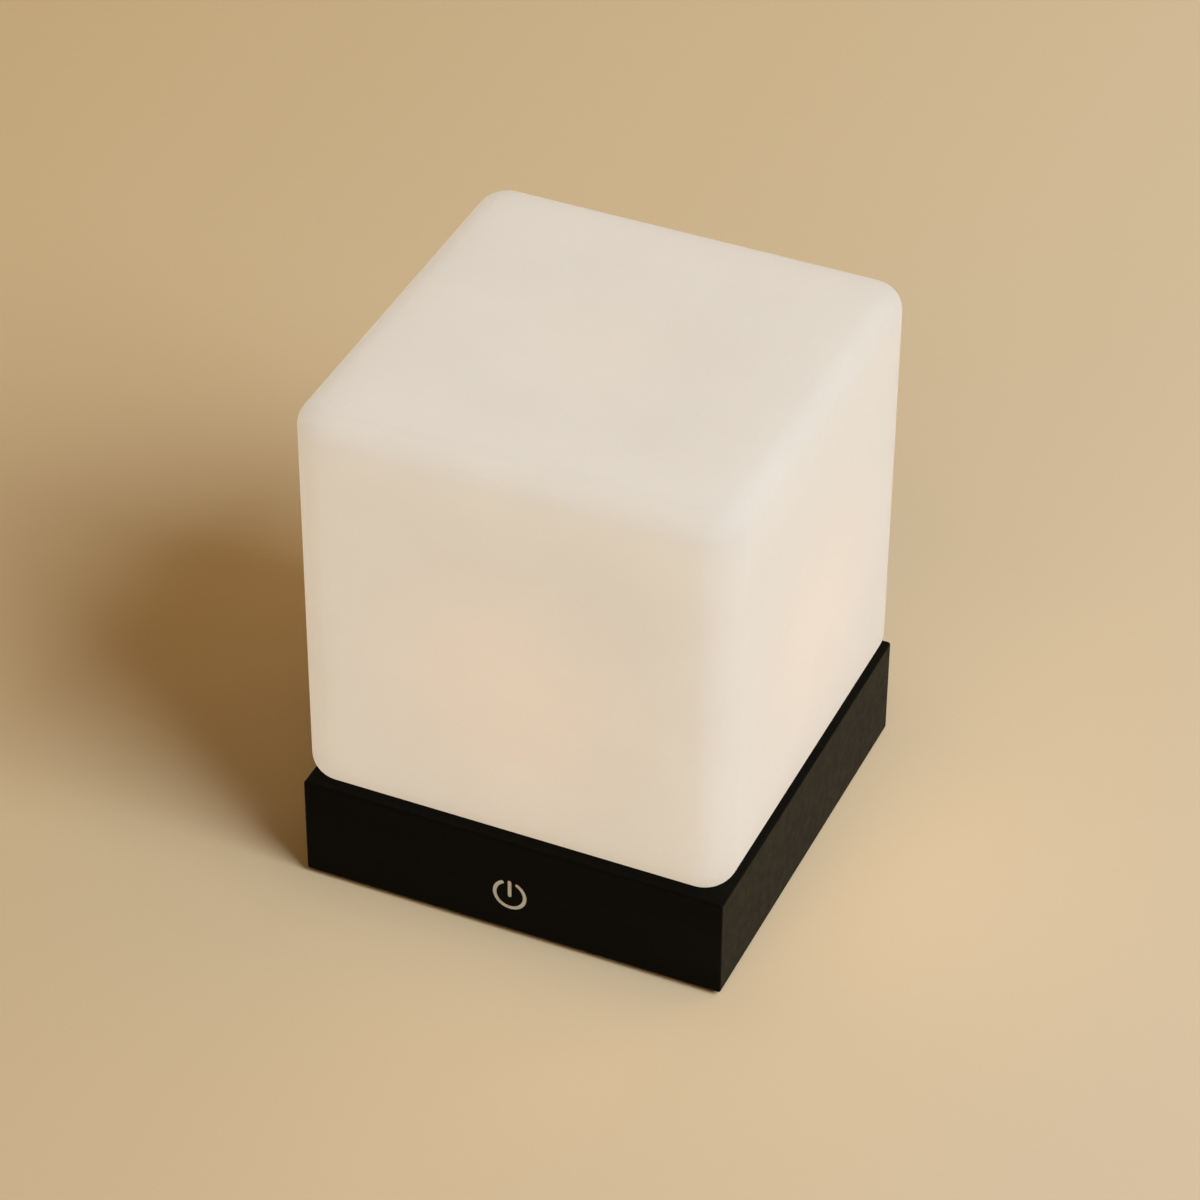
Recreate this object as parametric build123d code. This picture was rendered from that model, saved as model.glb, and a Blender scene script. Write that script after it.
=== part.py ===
from build123d import *
import os

# Rechargeable cube lamp: an opal shade that lifts off a black wooden base.
# Sizes are in millimetres. The origin is on the table under the middle of the base, +Z is up,
# the touch symbol faces -Y and the charging inlet faces +Y.

# Wooden base
base_side = 99.5
base_height = 25.0
base_wall = 9.5
base_web = 6.0
base_thin_wall = 3.0
base_edge_round = 0.6
cavity_corner_round = 4.0

# Touch symbol let into the front of the base
symbol_height = 11.2
symbol_ring_radius = 3.6
symbol_stroke = 0.9
symbol_gap_angle = 60.0
symbol_bar_length = 4.7
symbol_bar_rise = 1.68
symbol_depth = 0.4
symbol_recess = 0.05

# Touch sensor behind the symbol
touch_board_width = 16.0
touch_board_height = 12.0
touch_board_thickness = 1.0
touch_tape_thickness = 0.5
touch_tape_margin = 1.0
touch_electrode_diameter = 10.0
touch_electrode_thickness = 0.2
touch_chip_size = (3.0, 1.2, 2.8)
touch_pocket_gap = 1.0
touch_wire_pitch = 2.2
touch_wire_inset = 3.0
touch_wire_lead_out = 2.9
touch_wire_gap = 0.9

# Bottom cover and its screws
cover_thickness = 3.0
cover_ledge = 5.0
cover_gap = 0.2
cover_corner_round = 4.0
cover_edge_chamfer = 0.4
cover_screw_inset = 3.2
cover_screw_head = 5.0
cover_screw_head_depth = 1.6
cover_screw_sink = 0.2
cover_screw_shank = 2.6
cover_screw_length = 11.0

# Rubber feet
foot_diameter = 12.0
foot_thickness = 1.8
foot_standoff = 1.0
foot_inset = 15.0
foot_edge_round = 0.4

# Battery
battery_end_room = 10.0
battery_front_room = 3.0
battery_rear_room = 7.5
battery_edge_round = 2.0
battery_tape_thickness = 1.0
battery_tape_margin = 6.0
guard_board_thickness = 1.2
guard_board_margin = 3.0
rib_thickness = 1.6
rib_height = 6.0
rib_gap = 0.3
rib_length = 30.0
wire_room = 5.0
battery_wire_pitch = 6.0

# Control board
board_width = 26.0
board_length = 34.0
board_thickness = 1.6
board_rise = 4.8
board_post_diameter = 5.2
board_post_inset = 3.0
board_rear_post_inset = 8.0
board_screw_head = 3.8
board_screw_head_height = 1.4
board_screw_shank = 1.9
board_screw_length = 5.0
charge_chip_size = (5.0, 6.0, 1.6)
charge_chip_place = (-6.5, 18.5)
driver_chip_size = (3.0, 3.0, 1.1)
driver_chip_place = (0.0, 22.5)
inductor_side = 6.0
inductor_height = 3.0
inductor_corner_round = 1.2
inductor_place = (6.0, 18.5)
capacitor_size = (3.2, 1.6, 1.4)
capacitor_places = ((0.0, 14.0), (0.0, 17.0))
led_pad_inset = 4.0
battery_pad_inset = 9.0
battery_pad_pitch = 2.2
touch_pad_inset = 9.0
side_pad_x = 9.0

# Charging inlet
usb_width = 8.94
usb_height = 3.26
usb_length = 7.35
usb_shell = 0.3
usb_back = 0.8
usb_corner_round = 1.2
tongue_width = 6.7
tongue_thickness = 0.7
tongue_length = 4.6

# Flap and bezel over the inlet
flap_width = 15.4
flap_above = 4.0
flap_below = 4.0
flap_thickness = 1.4
flap_corner_round = 1.3
flap_edge_round = 0.35
flap_gap = 0.3
flap_boss_depth = 1.0
flap_boss_gap = 0.5
hinge_inset = 0.45
hinge_clearance = 0.1
hinge_relief = 1.0
trunnion_length = 1.5
trunnion_end_gap = 0.2
bezel_rim = 1.4
bezel_corner_round = 2.5
bezel_edge_round = 0.3
bezel_fit = 0.1
bezel_flange = 1.0
bezel_flange_thickness = 1.2
inlet_gap = 0.25
socket_setback = 0.3
board_setback = 0.4
port_pocket_gap = 0.5
nail_notch_radius = 2.2
nail_notch_length = 6.0
nail_notch_offset = 1.4

# Opal shade
shade_side = 100.0
shade_height = 98.7
shade_wall = 3.0
shade_corner_round = 7.5
shade_top_round = 5.5
shade_bottom_round = 6.0
shade_inner_round_least = 1.0
shade_opening = 68.0
shade_opening_round = 12.0
shade_lip_round = 1.2
shade_lip_wall_share = 0.4

# Soft seat under the shade
gasket_width = 5.0
gasket_thickness = 1.2
gasket_proud = 0.3
gasket_corner_round = 12.0

# Pedestal that locates the shade and carries the light
pedestal_height = 9.0
pedestal_clearance = 0.6
pedestal_wall = 2.2
pedestal_plate = 2.6
pedestal_lead_in = 1.0
pedestal_boss_diameter = 7.0
pedestal_screw_inset = 7.0
pedestal_screw_head = 5.6
pedestal_screw_head_height = 2.0
pedestal_screw_shank = 3.0
pedestal_screw_tip_cover = 1.2
pedestal_screw_sink = 0.3
band_height = 2.0
band_depth = 1.0
band_clearance = 0.2
band_edge_round = 0.4

# Light board
led_board_side = 44.0
led_board_thickness = 1.6
led_board_corner_round = 3.0
led_board_seat = 0.8
led_board_gap = 0.25
led_count = 12
led_ring_radius = 14.0
led_chip_size = (2.8, 3.5, 0.8)
led_window_margin = 0.4
led_window_depth = 0.3
led_screw_inset = 4.0
led_screw_head = 4.4
led_screw_head_height = 1.6
led_screw_shank = 2.0
led_screw_length = 5.0
led_screw_boss_diameter = 5.2
led_screw_boss_length = 4.0
led_pad_reach = 5.5
solder_diameter = 2.6
solder_height = 1.5
solder_round = 0.5

# Grommet in the wood and the leads that pass through it
grommet_hole = 9.0
grommet_flange = 12.0
grommet_flange_thickness = 1.0
grommet_bore = 5.0
wire_diameter = 1.4
wire_bend = 2.0
led_wire_pitch = 2.0
wire_lift = 0.05

# Shared small clearances
screw_hole_gap = 0.2
screw_grip_gap = 0.05
pan_round_share = 0.33
cross_width_share = 0.2
cross_length_share = 0.62
cross_depth_share = 0.5
cut_over = 1.0

# Levels and places that follow from the sizes above
base_half = base_side / 2
base_bottom = foot_standoff
base_top = base_bottom + base_height
cavity_side = base_side - 2 * base_wall
cavity_half = cavity_side / 2
cavity_top = base_top - base_web
thin_face = base_half - base_thin_wall
cover_top = base_bottom + cover_thickness
cover_side = cavity_side + 2 * cover_ledge
cover_screw_place = cover_side / 2 - cover_screw_inset
foot_place = base_half - foot_inset
foot_top = foot_thickness

board_bottom = cover_top + board_rise
board_top = board_bottom + board_thickness
port_level = board_top + usb_height / 2
flap_radius = flap_thickness / 2
hinge_level = port_level + flap_above
hinge_depth = base_half - hinge_inset
recess_half = flap_width / 2 + flap_gap
recess_low = port_level - flap_below - flap_gap
recess_high = hinge_level + flap_radius + hinge_relief
recess_floor = hinge_depth - flap_radius - flap_gap
bezel_half = recess_half + trunnion_length + trunnion_end_gap + bezel_rim
bezel_low = recess_low - bezel_rim
bezel_high = recess_high + bezel_rim
bezel_middle = (bezel_low + bezel_high) / 2
bezel_height = bezel_high - bezel_low
bezel_back = thin_face - bezel_flange_thickness
inlet_width = usb_width + 2 * inlet_gap
inlet_height = usb_height + 2 * inlet_gap
boss_end = hinge_depth - flap_radius - flap_boss_depth
usb_mouth = boss_end - socket_setback
usb_rear = usb_mouth - usb_length
board_rear = bezel_back - board_setback
board_front = board_rear - board_length
port_pocket_half = max(bezel_half + bezel_flange, board_width / 2) + port_pocket_gap
port_pocket_top = bezel_high + bezel_flange + port_pocket_gap

battery_bottom = cover_top + battery_tape_thickness
battery_top = cavity_top - wire_room
battery_thickness = battery_top - battery_bottom
battery_level = (battery_bottom + battery_top) / 2
battery_length = cavity_side - 2 * battery_end_room
battery_front = -cavity_half + battery_front_room
battery_rear = board_front - battery_rear_room
battery_width = battery_rear - battery_front
battery_middle = (battery_front + battery_rear) / 2
wire_level = cavity_top - wire_room / 2

touch_level = symbol_height
touch_board_low = touch_level - touch_board_height / 2
touch_board_top = touch_level + touch_board_height / 2
touch_tape_back = -thin_face + touch_tape_thickness
touch_electrode_back = touch_tape_back + touch_electrode_thickness
touch_board_back = touch_electrode_back + touch_board_thickness
touch_wire_level = touch_board_low + touch_wire_inset
touch_run_level = battery_top + touch_wire_gap + wire_diameter / 2

shade_bottom = base_top + gasket_proud
shade_top = shade_bottom + shade_height
gasket_middle = (shade_opening / 2 + shade_side / 2 - shade_bottom_round) / 2
gasket_groove = gasket_thickness - gasket_proud
pedestal_side = shade_opening - 2 * pedestal_clearance
pedestal_round = shade_opening_round - pedestal_clearance
pedestal_top = base_top + pedestal_height
pedestal_screw_place = pedestal_side / 2 - pedestal_screw_inset
pedestal_screw_seat = pedestal_top - pedestal_screw_head_height - pedestal_screw_sink
pedestal_screw_tip = cavity_top + pedestal_screw_tip_cover
band_middle = shade_bottom + shade_wall / 2
led_board_bottom = pedestal_top - led_board_seat
led_board_top = led_board_bottom + led_board_thickness
led_screw_place = led_board_side / 2 - led_screw_inset


def level_block(width, depth, corner, low, high):
    """Block with rounded upright edges, between two levels."""
    return Pos(0, 0, low) * extrude(RectangleRounded(width, depth, corner), high - low)


def upright_block(width, height, corner, front, rear, middle):
    """Block with rounded edges along Y, between two depths, centred on a level."""
    outline = Plane.XZ * RectangleRounded(width, height, corner)
    return Pos(0, rear, middle) * extrude(outline, rear - front)


def slab(size, low_corner):
    """Plain box of a size from its lowest corner."""
    return Pos(*low_corner) * Box(*size, align=(Align.MIN, Align.MIN, Align.MIN))


def post(x, y, diameter, low, high):
    """Upright round post or hole between two levels."""
    shape = Cylinder(diameter / 2, high - low, align=(Align.CENTER, Align.CENTER, Align.MIN))
    return Pos(x, y, low) * shape


def chip(size, place):
    """Component on the control board, placed from the middle of the board's front edge."""
    length, width, height = size
    shape = Box(length, width, height, align=(Align.CENTER, Align.CENTER, Align.MIN))
    return Pos(place[0], board_front + place[1], board_top) * shape


def corners(reach):
    """Four places at the corners of a square."""
    return [(x, y) for x in (-reach, reach) for y in (-reach, reach)]


def cross_recess(head_diameter, head_height):
    """Cross slot of a screw head, cut down from level 0."""
    long_side = head_diameter * cross_length_share
    short_side = head_diameter * cross_width_share
    depth = head_height * cross_depth_share
    bar = Box(long_side, short_side, depth, align=(Align.CENTER, Align.CENTER, Align.MAX))
    return bar + Rot(0, 0, 90) * bar


def pan_screw(head_diameter, head_height, shank_diameter, length):
    """Screw whose head stands on level 0 and whose shank points down."""
    head = post(0, 0, head_diameter, 0, head_height)
    head = fillet(head.edges().group_by(Axis.Z)[-1], head_height * pan_round_share)
    head -= Pos(0, 0, head_height) * cross_recess(head_diameter, head_height)
    return head + post(0, 0, shank_diameter, -length, 0)


def flat_screw(head_diameter, head_depth, shank_diameter, length):
    """Countersunk screw whose flat head ends on level 0 and whose shank points down."""
    head = Cone(shank_diameter / 2, head_diameter / 2, head_depth,
                align=(Align.CENTER, Align.CENTER, Align.MAX))
    head -= cross_recess(head_diameter, head_depth)
    return head + post(0, 0, shank_diameter, -length, -head_depth)


def wire(points, bend):
    """Round lead along straight runs joined by arcs."""
    path = FilletPolyline(*points, radius=bend)
    section = Plane(origin=path @ 0, z_dir=path % 0) * Circle(wire_diameter / 2)
    return sweep(section, path=path)


def symbol_strokes(front, rear):
    """Open ring and upright bar of the touch symbol, between two depths."""
    arc = CenterArc((0, 0), symbol_ring_radius, 90 + symbol_gap_angle / 2, 360 - symbol_gap_angle)
    ring = SlotArc(arc, symbol_stroke)
    bar = Pos(0, symbol_bar_rise) * SlotOverall(symbol_bar_length, symbol_stroke, rotation=90)
    strokes = [extrude(Plane.XZ * outline, rear - front) for outline in (ring, bar)]
    return [Pos(0, rear, symbol_height) * stroke for stroke in strokes]


def base_block():
    """Wooden block, hollowed from below, with the seats of everything that is let into it."""
    block = Box(base_side, base_side, base_height)
    block = Pos(0, 0, base_bottom + base_height / 2) * fillet(block.edges(), base_edge_round)
    rebate = cover_side + 2 * cover_gap
    block -= level_block(rebate, rebate, cover_corner_round + cover_gap, base_bottom - cut_over, cover_top)
    block -= level_block(cavity_side, cavity_side, cavity_corner_round, base_bottom, cavity_top)
    touch_half = touch_board_width / 2 + touch_pocket_gap
    touch_top = max(touch_board_top, touch_run_level + wire_diameter / 2) + touch_pocket_gap
    block -= slab((2 * touch_half, thin_face, touch_top - cover_top), (-touch_half, -thin_face, cover_top))
    pocket_height = port_pocket_top - cover_top
    block -= slab((2 * port_pocket_half, thin_face, pocket_height), (-port_pocket_half, 0, cover_top))
    window_width = 2 * (bezel_half + bezel_fit)
    window_height = bezel_height + 2 * bezel_fit
    window_corner = bezel_corner_round + bezel_fit
    block -= upright_block(window_width, window_height, window_corner,
                           thin_face - cut_over, base_half + cut_over, bezel_middle)
    block -= gasket_ring(base_top - gasket_groove, base_top + cut_over)
    block -= post(0, 0, grommet_hole, cavity_top - cut_over, base_top + cut_over)
    pilot = pedestal_screw_shank + 2 * screw_grip_gap
    for x, y in corners(pedestal_screw_place):
        block -= post(x, y, pilot, pedestal_screw_tip - screw_grip_gap, base_top + cut_over)
    pilot = cover_screw_shank + 2 * screw_grip_gap
    screw_top = base_bottom + cover_screw_sink + cover_screw_length + screw_grip_gap
    for x, y in corners(cover_screw_place):
        block -= post(x, y, pilot, cover_top - cut_over, screw_top)
    for stroke in symbol_strokes(-base_half - cut_over, -base_half + symbol_depth):
        block -= stroke
    return block


def power_symbol():
    """Pale filling of the ring and the bar, just under the face of the wood."""
    return Compound(symbol_strokes(-base_half + symbol_recess, -base_half + symbol_depth))


def gasket_ring(low, high):
    """Square ring with round corners, centred under the flat rim of the shade."""
    outer = 2 * gasket_middle + gasket_width
    inner = 2 * gasket_middle - gasket_width
    ring = level_block(outer, outer, gasket_corner_round + gasket_width, low, high)
    return ring - level_block(inner, inner, gasket_corner_round, low - cut_over, high + cut_over)


def shade_gasket():
    """Soft seat in its groove, a little proud of the wood."""
    return gasket_ring(base_top - gasket_groove, shade_bottom)


def rounded_cube(side, corner, top_round, bottom_round, low, high):
    """Cube with one round on its upright edges, one on top and one below."""
    cube = level_block(side, side, corner, low, high)
    cube = fillet(cube.edges().group_by(Axis.Z)[-1], top_round)
    return fillet(cube.edges().group_by(Axis.Z)[0], bottom_round)


def inner_round(outer_round):
    """Round inside the shade that keeps its wall even."""
    return max(outer_round - shade_wall, shade_inner_round_least)


def shade():
    """Hollow opal cube with an opening in its floor that drops over the pedestal."""
    shell = rounded_cube(shade_side, shade_corner_round, shade_top_round, shade_bottom_round,
                         shade_bottom, shade_top)
    floor_level = shade_bottom + shade_wall
    hollow = rounded_cube(shade_side - 2 * shade_wall, inner_round(shade_corner_round),
                          inner_round(shade_top_round), inner_round(shade_bottom_round),
                          floor_level, shade_top - shade_wall)
    shell -= hollow
    shell -= level_block(shade_opening, shade_opening, shade_opening_round,
                         shade_bottom - cut_over, floor_level + cut_over)
    reach = shade_opening / 2 + shade_lip_round
    lips = [edge for edge in shell.edges()
            if edge.bounding_box().max.X < reach and edge.bounding_box().min.X > -reach
            and edge.bounding_box().max.Y < reach and edge.bounding_box().min.Y > -reach
            and edge.bounding_box().size.Z < shade_wall / 2
            and edge.center().Z < floor_level + cut_over]
    return fillet(lips, min(shade_lip_round, shade_lip_wall_share * shade_wall))


def led_pedestal():
    """Moulded platform, hollow below, with screw bosses, a board seat and a band groove."""
    body = level_block(pedestal_side, pedestal_side, pedestal_round, base_top, pedestal_top)
    body = chamfer(body.edges().group_by(Axis.Z)[-1], pedestal_lead_in)
    hollow = pedestal_side - 2 * pedestal_wall
    plate_low = pedestal_top - pedestal_plate
    body -= level_block(hollow, hollow, pedestal_round - pedestal_wall, base_top - cut_over, plate_low)
    for x, y in corners(pedestal_screw_place):
        body += post(x, y, pedestal_boss_diameter, base_top, plate_low)
    for x, y in corners(led_screw_place):
        body += post(x, y, led_screw_boss_diameter, plate_low - led_screw_boss_length, plate_low)
    seat = led_board_side + 2 * led_board_gap
    body -= level_block(seat, seat, led_board_corner_round + led_board_gap,
                        led_board_bottom, pedestal_top + cut_over)
    body -= band_ring(pedestal_side + cut_over, pedestal_round + cut_over / 2)
    for x, y in corners(pedestal_screw_place):
        body -= post(x, y, pedestal_screw_shank + 2 * screw_hole_gap, base_top - cut_over, pedestal_top)
        body -= post(x, y, pedestal_screw_head + 2 * screw_hole_gap,
                     pedestal_screw_seat, pedestal_top + cut_over)
    screw_end = led_board_top - led_screw_length - screw_grip_gap
    for x, y in corners(led_screw_place):
        body -= post(x, y, led_screw_shank + 2 * screw_grip_gap, screw_end, pedestal_top)
    body -= post(0, 0, grommet_bore, plate_low - cut_over, pedestal_top)
    return body


def band_ring(outer_side, outer_round):
    """Ring that fills the groove round the pedestal, out to a given side."""
    low = band_middle - band_height / 2
    high = band_middle + band_height / 2
    inner_side = pedestal_side - 2 * band_depth
    ring = level_block(outer_side, outer_side, outer_round, low, high)
    return ring - level_block(inner_side, inner_side, pedestal_round - band_depth,
                              low - cut_over, high + cut_over)


def grip_band():
    """Soft band that grips the opening of the shade."""
    outer_side = shade_opening - 2 * band_clearance
    band = band_ring(outer_side, shade_opening_round - band_clearance)
    rims = [edge for edge in band.edges().filter_by(GeomType.LINE)
            if max(abs(edge.center().X), abs(edge.center().Y)) > outer_side / 2 - band_clearance / 2
            and edge.bounding_box().size.Z < band_height / 2]
    rims += [edge for edge in band.edges().filter_by(GeomType.CIRCLE)
             if edge.radius > shade_opening_round - 2 * band_clearance]
    return fillet(rims, band_edge_round)


def pedestal_screws():
    """Four wood screws that hold the pedestal down."""
    screw = pan_screw(pedestal_screw_head, pedestal_screw_head_height, pedestal_screw_shank,
                      pedestal_screw_seat - pedestal_screw_tip)
    return Compound([Pos(x, y, pedestal_screw_seat) * screw for x, y in corners(pedestal_screw_place)])


def led_board():
    """Square light board in its seat, with a hole for the leads and four for screws."""
    board = level_block(led_board_side, led_board_side, led_board_corner_round,
                        led_board_bottom, led_board_top)
    board -= post(0, 0, grommet_bore, led_board_bottom - cut_over, led_board_top + cut_over)
    for x, y in corners(led_screw_place):
        board -= post(x, y, led_screw_shank + 2 * screw_hole_gap,
                      led_board_bottom - cut_over, led_board_top + cut_over)
    return board


def led_places():
    """Places of the light chips on their ring, turned to face the middle."""
    step = 360 / led_count
    start = step / 2
    return [Rot(0, 0, start + step * index) * Pos(led_ring_radius, 0, led_board_top)
            for index in range(led_count)]


def led_window(high):
    """Window in the top of one light chip, up to a level above its board."""
    length, width, height = led_chip_size
    size = (length - 2 * led_window_margin, width - 2 * led_window_margin)
    low = height - led_window_depth
    return Pos(0, 0, low) * Box(*size, high - low, align=(Align.CENTER, Align.CENTER, Align.MIN))


def led_chips():
    """Ring of light chips, each with a shallow window."""
    body = Box(*led_chip_size, align=(Align.CENTER, Align.CENTER, Align.MIN))
    body -= led_window(led_chip_size[2] + cut_over)
    return Compound([place * body for place in led_places()])


def led_phosphors():
    """Yellow filling of each light chip's window."""
    return Compound([place * led_window(led_chip_size[2]) for place in led_places()])


def led_board_screws():
    """Four small screws that hold the light board."""
    screw = pan_screw(led_screw_head, led_screw_head_height, led_screw_shank, led_screw_length)
    return Compound([Pos(x, y, led_board_top) * screw for x, y in corners(led_screw_place)])


def led_wire(side):
    """Lead from the light board, through the grommet, to the control board."""
    run_level = led_board_top + wire_diameter / 2 + wire_lift
    x = side * led_wire_pitch / 2
    pad_y = board_front + led_pad_inset
    points = [
        (side * led_pad_reach, 0, run_level),
        (x, 0, run_level),
        (x, 0, wire_level),
        (x, pad_y, wire_level),
        (x, pad_y, board_top),
    ]
    return wire(points, wire_bend)


def led_solder_joints():
    """Solder domes that hold the two leads on the light board."""
    dome = post(0, 0, solder_diameter, led_board_top, led_board_top + solder_height)
    dome = fillet(dome.edges().group_by(Axis.Z)[-1], solder_round)
    domes = [Pos(side * led_pad_reach, 0, 0) * dome - led_wire(side) for side in (-1, 1)]
    return Compound(domes)


def wire_grommet():
    """Soft bush in the hole of the wood, with a flange above and below."""
    low = cavity_top - grommet_flange_thickness
    high = base_top + grommet_flange_thickness
    bush = post(0, 0, grommet_hole, cavity_top, base_top)
    bush += post(0, 0, grommet_flange, low, cavity_top)
    bush += post(0, 0, grommet_flange, base_top, high)
    return bush - post(0, 0, grommet_bore, low - cut_over, high + cut_over)


def battery_pack():
    """Flat rechargeable pouch."""
    pouch = slab((battery_length, battery_width, battery_thickness),
                 (-battery_length / 2, battery_front, battery_bottom))
    return fillet(pouch.edges(), battery_edge_round)


def battery_guard_board():
    """Protection board across the end of the pouch."""
    width = battery_width - 2 * guard_board_margin
    height = battery_thickness - 2 * battery_edge_round
    return slab((guard_board_thickness, width, height),
                (battery_length / 2, battery_front + guard_board_margin, battery_bottom + battery_edge_round))


def battery_tape():
    """Foam tape between the pouch and the cover."""
    length = battery_length - 2 * battery_tape_margin
    width = battery_width - 2 * battery_tape_margin
    return slab((length, width, battery_tape_thickness),
                (-length / 2, battery_front + battery_tape_margin, cover_top))


def battery_wire(index):
    """Lead from the protection board, round the pouch, to the control board."""
    start_x = battery_length / 2 + guard_board_thickness
    turn_x = cavity_half - wire_diameter - index * battery_pad_pitch
    start_y = battery_middle + (index - 0.5) * battery_wire_pitch
    pad_y = board_front + battery_pad_inset + (1 - index) * battery_pad_pitch
    over_level = board_top + inductor_height + wire_diameter
    points = [
        (start_x, start_y, battery_level),
        (turn_x, start_y, battery_level),
        (turn_x, pad_y, over_level),
        (side_pad_x, pad_y, over_level),
        (side_pad_x, pad_y, board_top),
    ]
    return wire(points, wire_bend)


def board_screw_places():
    """Places of the control board's four screws."""
    x = board_width / 2 - board_post_inset
    return [(side * x, y) for side in (-1, 1)
            for y in (board_front + board_post_inset, board_rear - board_rear_post_inset)]


def control_board():
    """Board with the charger, the light driver and the inlet."""
    board = slab((board_width, board_length, board_thickness),
                 (-board_width / 2, board_front, board_bottom))
    for x, y in board_screw_places():
        board -= post(x, y, board_screw_shank + 2 * screw_hole_gap,
                      board_bottom - cut_over, board_top + cut_over)
    return board


def board_screws():
    """Four small screws that hold the control board on its posts."""
    screw = pan_screw(board_screw_head, board_screw_head_height, board_screw_shank, board_screw_length)
    return Compound([Pos(x, y, board_top) * screw for x, y in board_screw_places()])


def boost_inductor():
    """Square power inductor with rounded corners."""
    coil = extrude(RectangleRounded(inductor_side, inductor_side, inductor_corner_round), inductor_height)
    return Pos(inductor_place[0], board_front + inductor_place[1], board_top) * coil


def filter_capacitors():
    """Two small capacitors."""
    return Compound([chip(capacitor_size, place) for place in capacitor_places])


def touch_board():
    """Small upright board of the touch sensor."""
    return slab((touch_board_width, touch_board_thickness, touch_board_height),
                (-touch_board_width / 2, touch_electrode_back, touch_board_low))


def touch_electrode():
    """Round copper pad on the front of the touch board."""
    disc = extrude(Plane.XZ * Circle(touch_electrode_diameter / 2), touch_electrode_thickness)
    return Pos(0, touch_electrode_back, touch_level) * disc


def touch_tape():
    """Adhesive pad between the sensor and the wood."""
    width = touch_board_width - 2 * touch_tape_margin
    height = touch_board_height - 2 * touch_tape_margin
    return slab((width, touch_tape_thickness, height),
                (-width / 2, -thin_face, touch_board_low + touch_tape_margin))


def touch_chip():
    """Sensor chip on the back of the touch board."""
    length, depth, height = touch_chip_size
    return slab(touch_chip_size, (-length / 2, touch_board_back, touch_level - height / 2))


def touch_wires():
    """Three thin leads that rise behind the sensor and run over the pouch to the control board."""
    leads = []
    rise_y = touch_board_back + touch_wire_lead_out
    for index in (-1, 0, 1):
        shift = index * touch_wire_pitch
        pad = (shift - side_pad_x, board_front + touch_pad_inset)
        points = [
            (shift, touch_board_back, touch_wire_level),
            (shift, rise_y, touch_wire_level),
            (shift, rise_y, touch_run_level),
            (*pad, touch_run_level),
            (*pad, board_top),
        ]
        leads.append(wire(points, wire_bend))
    return Compound(leads)


def usb_socket():
    """Metal shell of the charging inlet, open at the rear of the lamp."""
    shell = upright_block(usb_width, usb_height, usb_corner_round, usb_rear, usb_mouth, port_level)
    bore_round = usb_corner_round - usb_shell
    return shell - upright_block(usb_width - 2 * usb_shell, usb_height - 2 * usb_shell, bore_round,
                                 usb_rear + usb_back, usb_mouth + cut_over, port_level)


def usb_tongue():
    """Contact tongue in the middle of the inlet."""
    return slab((tongue_width, tongue_length, tongue_thickness),
                (-tongue_width / 2, usb_rear + usb_back, port_level - tongue_thickness / 2))


def port_bezel():
    """Frame in the rear wall, with a recess, hinge sockets and a nail notch for the flap."""
    bezel = upright_block(2 * bezel_half, bezel_height, bezel_corner_round,
                          thin_face, base_half, bezel_middle)
    bezel = fillet(bezel.edges().group_by(Axis.Y)[-1], bezel_edge_round)
    bezel += upright_block(2 * (bezel_half + bezel_flange), bezel_height + 2 * bezel_flange,
                           bezel_corner_round + bezel_flange, bezel_back, thin_face, bezel_middle)
    recess_middle = (recess_low + recess_high) / 2
    bezel -= upright_block(2 * recess_half, recess_high - recess_low, flap_corner_round - flap_gap,
                           recess_floor, base_half + cut_over, recess_middle)
    bezel -= upright_block(inlet_width, inlet_height, usb_corner_round + inlet_gap,
                           bezel_back - cut_over, base_half, port_level)
    socket_length = 2 * (recess_half + trunnion_length + trunnion_end_gap)
    hinge_socket = Rot(0, 90, 0) * Cylinder(flap_radius + hinge_clearance, socket_length)
    bezel -= Pos(0, hinge_depth, hinge_level) * hinge_socket
    notch = Rot(0, 90, 0) * Cylinder(nail_notch_radius, nail_notch_length)
    return bezel - Pos(0, base_half + nail_notch_offset, recess_low) * notch


def port_flap():
    """Soft flap that hangs on a moulded barrel and plugs the inlet."""
    front = hinge_depth - flap_radius
    height = flap_above + flap_below
    plate = slab((flap_width, flap_thickness, height), (-flap_width / 2, front, hinge_level - height))
    plate = fillet(plate.edges().filter_by(Axis.Y).group_by(Axis.Z)[0], flap_corner_round)
    rim = [edge for edge in plate.edges().group_by(Axis.Y)[-1] if edge.center().Z < hinge_level - flap_radius]
    plate = fillet(rim, flap_edge_round)
    barrel = Rot(0, 90, 0) * Cylinder(flap_radius, flap_width + 2 * (flap_gap + trunnion_length))
    flap = plate + Pos(0, hinge_depth, hinge_level) * barrel
    boss_width = inlet_width - 2 * flap_boss_gap
    boss_height = inlet_height - 2 * flap_boss_gap
    return flap + upright_block(boss_width, boss_height, usb_corner_round - inlet_gap,
                                boss_end, front, port_level)


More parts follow.
